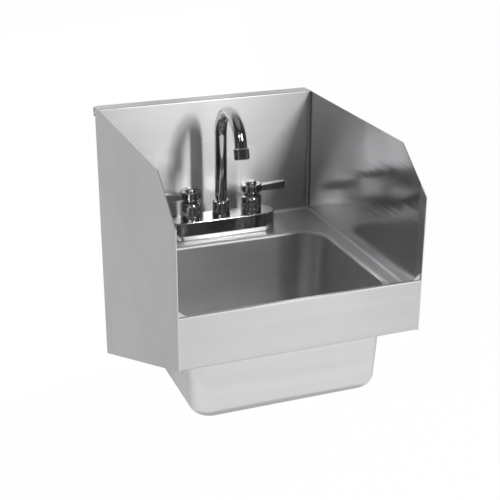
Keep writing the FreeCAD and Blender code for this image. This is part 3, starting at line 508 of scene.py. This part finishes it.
def screw_thread(name, finish, foot, radius, height, pitch, count=1, spacing=(0.0, 0.0, 0.0)):
    """A run of thread on the fixed part of the basin, as a plain mesh."""
    holder = bpy.data.objects.new(name, bpy.data.meshes.new(f"{name}_start"))
    bpy.context.scene.collection.objects.link(holder)
    winder = holder.modifiers.new("wind", "NODES")
    winder.node_group = THREADS
    values = {
        "Radius": radius,
        "Turns": height / pitch,
        "Height": height,
        "Ridge": RIDGE_SHARE * pitch,
        "Count": count,
        "Spacing": spacing,
        "Foot": foot,
        "Finish": FINISHES[finish],
    }
    for item in THREADS.interface.items_tree:
        if item.in_out == "INPUT":
            winder[item.identifier] = values[item.name]
    graph = bpy.context.evaluated_depsgraph_get()
    mesh = bpy.data.meshes.new_from_object(holder.evaluated_get(graph))
    holder.modifiers.remove(winder)
    holder.data = mesh
    face_outwards(mesh)
    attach(holder, "basin")


def shank_threads():
    """Threads on the two supply shanks: on their turned-down free ends and from there to the locknuts."""
    low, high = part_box("faucet_valve_body")
    locknut_low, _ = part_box("shank_locknuts")
    left, right = MOUNTS["left_supply_shank"], MOUNTS["right_supply_shank"]
    end_radius = left["dims"]["r_mm"] / MM_PER_METRE
    end_length = left["dims"]["length_mm"] / MM_PER_METRE
    across = left["pos_m"][0]
    middle = (low[1] + high[1]) / 2
    spacing = (right["pos_m"][0] - across, 0.0, 0.0)
    step = low[2] + end_length
    foot = (across, middle, low[2] + THREAD_SETBACK)
    height = end_length - 2 * THREAD_SETBACK
    screw_thread("shank_end_threads", "brass", foot, end_radius, height, SHANK_PITCH,
                 SHANK_COUNT, spacing)
    foot = (across, middle, step + THREAD_SETBACK)
    height = locknut_low[2] - step - 2 * THREAD_SETBACK
    screw_thread("shank_nut_threads", "brass", foot, SHANK_RADIUS, height, SHANK_PITCH,
                 SHANK_COUNT, spacing)


def drain_thread():
    """Thread on the drain, from its plain tail up to the locknut."""
    low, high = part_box("drain_body")
    nut_low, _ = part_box("drain_locknut")
    middle = (low[1] + high[1]) / 2
    tail = MOUNTS["drain_outlet"]["dims"]["length_mm"] / MM_PER_METRE
    foot = (0.0, middle, low[2] + tail + THREAD_SETBACK)
    height = nut_low[2] - foot[2] - THREAD_SETBACK
    screw_thread("drain_thread", "drain", foot, DRAIN_RADIUS, height, DRAIN_PITCH)


# Room and floor

# The ceiling's limits are parts of a unit direction; gloom is the share of light taken away.
ROOM_LIGHT = 0.8
CEILING_RISE = (-0.05, 0.1)
CEILING_FRONT = (0.15, 0.7)
CEILING_TOP = (0.7, 0.95)
CEILING_GLOOM = 0.94
TOP_GLOOM = 0.65
WHITE = (1.0, 1.0, 1.0, 1.0)

# A loss is the share that the floor gives up as mirrored in metal: painted shade towards the back, and a
# painted shadow of the basin under it.
FLOOR_HEIGHT = -0.62
FLOOR_REACH = 20.0
FLOOR_COLOUR = (0.95, 0.95, 0.95, 1.0)
FLOOR_SEEN = 0.96
FLOOR_TURN = (-0.5, 0.6)
FLOOR_FRONT_LOSS = 0.07
FLOOR_BACK_LOSS = 0.43
BASIN_FOOT = (0.05, -0.2, FLOOR_HEIGHT)
BASIN_SHADE = (0.25, 0.6)
BASIN_GLOOM = 0.45


def studio_world():
    """A white room, its ceiling darker over the user's side in metal; soft light stays even."""
    world = bpy.data.worlds.new("studio")
    bpy.context.scene.world = world
    world.use_nodes = True
    tree = world.node_tree
    tree.nodes.clear()
    towards = add_node(tree, "ShaderNodeSeparateXYZ")
    link(tree, add_node(tree, "ShaderNodeTexCoord").outputs["Generated"], towards.inputs[0])
    overhead = remap(tree, towards.outputs["Z"], *CEILING_RISE)
    user_side = remap(tree, towards.outputs["Y"], *CEILING_FRONT, 1.0, 0.0)
    dark = remap(tree, towards.outputs["Z"], *CEILING_TOP, CEILING_GLOOM, TOP_GLOOM)
    lit = math_node(tree, "SUBTRACT", 1.0, product(tree, overhead, user_side, dark))
    path = add_node(tree, "ShaderNodeLightPath").outputs
    mirrored = product(tree, path["Is Glossy Ray"], lit)
    soft = product(tree, path["Is Diffuse Ray"], ROOM_LIGHT)
    room = add_node(tree, "ShaderNodeBackground")
    room.inputs["Color"].default_value = WHITE
    seen = largest(tree, path["Is Camera Ray"], path["Is Transmission Ray"], mirrored, soft)
    link(tree, seen, room.inputs["Strength"])
    link(tree, room.outputs[0], add_node(tree, "ShaderNodeOutputWorld").inputs["Surface"])


def floor_finish():
    """White to the camera but for a soft shadow; in metal it is dimmed by painted shade at the back and a
    painted shadow under the basin.
    """
    material = bpy.data.materials.new("pale_floor")
    material.use_nodes = True
    tree = material.node_tree
    tree.nodes.clear()
    place = add_node(tree, "ShaderNodeTexCoord").outputs["Object"]
    parts = add_node(tree, "ShaderNodeSeparateXYZ")
    link(tree, place, parts.inputs[0])
    away = add_node(tree, "ShaderNodeVectorMath", operation="DISTANCE")
    link(tree, place, away.inputs[0])
    away.inputs[1].default_value = BASIN_FOOT
    path = add_node(tree, "ShaderNodeLightPath").outputs
    mirrored = path["Is Glossy Ray"]
    seen = largest(tree, path["Is Camera Ray"], path["Is Transmission Ray"], mirrored)
    # Painted shade and painted shadow, seen only in metal: the glow dims towards the back and under the
    # basin.
    back = remap(tree, parts.outputs["Y"], *FLOOR_TURN, FLOOR_FRONT_LOSS, FLOOR_BACK_LOSS)
    shade = remap(tree, away.outputs["Value"], *BASIN_SHADE, BASIN_GLOOM, 0.0)
    loss = product(tree, mirrored, largest(tree, back, shade))
    matt = add_node(tree, "ShaderNodeBsdfDiffuse")
    matt.inputs["Color"].default_value = FLOOR_COLOUR
    glow = add_node(tree, "ShaderNodeEmission")
    link(tree, math_node(tree, "SUBTRACT", 1.0, loss), glow.inputs["Strength"])
    blend = add_node(tree, "ShaderNodeMixShader")
    link(tree, product(tree, seen, FLOOR_SEEN), blend.inputs[0])
    link(tree, matt.outputs[0], blend.inputs[1])
    link(tree, glow.outputs[0], blend.inputs[2])
    link(tree, blend.outputs[0], add_node(tree, "ShaderNodeOutputMaterial").inputs["Surface"])
    return material


def pale_floor():
    """A wide floor far below the hung basin."""
    corners = [(x * FLOOR_REACH, y * FLOOR_REACH, FLOOR_HEIGHT)
               for x, y in ((-1, -1), (1, -1), (1, 1), (-1, 1))]
    mesh = bpy.data.meshes.new("floor")
    mesh.from_pydata(corners, [], [(0, 1, 2, 3)])
    mesh.materials.append(floor_finish())
    card = bpy.data.objects.new("floor", mesh)
    bpy.context.scene.collection.objects.link(card)


# Lamps and camera

# Level is brightness; spread and roll are degrees. The wide left lamp has a narrow beam, whose edges
# keep the bowl and the right of the backsplash out of its light.
BASIN_AIM = (0.0, -0.2, 0.0)
LAMPS = {
    "right_softbox": {
        "place": (0.6, -1.72, 1.02),
        "target": BASIN_AIM,
        "size": (0.1, 0.65),
        "level": 80.0,
    },
    "left_softbox": {
        "place": (-2.235, -0.8, 1.499),
        "target": (-1.189, 0.941, 0.419),
        "size": (2.4, 2.4),
        "level": 0.84,
        "spread": 2.5,
        "roll": 30.0,
    },
    "left_strip": {
        "place": (-0.98, -1.72, 1.1),
        "target": BASIN_AIM,
        "size": (0.12, 0.9),
        "level": 2.5,
    },
}

# The camera that was fitted to the photograph's corners.
CAMERA_PLACE = Vector((-0.54277, -1.62935, 0.63267))
CAMERA_YAW = math.radians(20.971)
CAMERA_PITCH = math.radians(22.092)
CAMERA_ROLL = math.radians(0.192)
FOCAL_PIXELS = 1090.37
FRAME_PIXELS = 500.0


def soft_lamp(name, place, target, size, level, spread=180.0, roll=0.0):
    """A rectangular lamp of a given brightness; spread narrows its beam and roll turns it, in degrees."""
    lamp = bpy.data.lights.new(name, "AREA")
    lamp.shape = "RECTANGLE"
    lamp.size, lamp.size_y = size
    lamp.energy = level * math.pi * size[0] * size[1]
    lamp.spread = math.radians(spread)
    holder = bpy.data.objects.new(name, lamp)
    holder.location = place
    holder.rotation_mode = "QUATERNION"
    facing = (Vector(target) - Vector(place)).to_track_quat("-Z", "Y")
    holder.rotation_quaternion = facing @ Quaternion((0.0, 0.0, 1.0), math.radians(roll))
    bpy.context.scene.collection.objects.link(holder)


def photo_camera():
    """The photograph's viewpoint, from its fitted place, turn and focal length."""
    camera = bpy.data.cameras.new("photo_camera")
    camera.sensor_fit = "HORIZONTAL"
    camera.lens = FOCAL_PIXELS / FRAME_PIXELS * camera.sensor_width
    ahead = Vector((math.sin(CAMERA_YAW) * math.cos(CAMERA_PITCH),
                    math.cos(CAMERA_YAW) * math.cos(CAMERA_PITCH), -math.sin(CAMERA_PITCH)))
    across = Vector((math.cos(CAMERA_YAW), -math.sin(CAMERA_YAW), 0.0))
    upward = across.cross(ahead)
    right = across * math.cos(CAMERA_ROLL) + upward * math.sin(CAMERA_ROLL)
    top = upward * math.cos(CAMERA_ROLL) - across * math.sin(CAMERA_ROLL)
    turn = Matrix((right, top, -ahead)).transposed()
    holder = bpy.data.objects.new("photo_camera", camera)
    holder.matrix_world = Matrix.Translation(CAMERA_PLACE) @ turn.to_4x4()
    bpy.context.scene.collection.objects.link(holder)
    bpy.context.scene.camera = holder


def studio():
    """Room, floor, lamps and camera."""
    bpy.context.scene.view_settings.view_transform = "Standard"
    studio_world()
    pale_floor()
    for name, values in LAMPS.items():
        soft_lamp(name, **values)
    photo_camera()


dress_nodes()
shank_threads()
drain_thread()
studio()
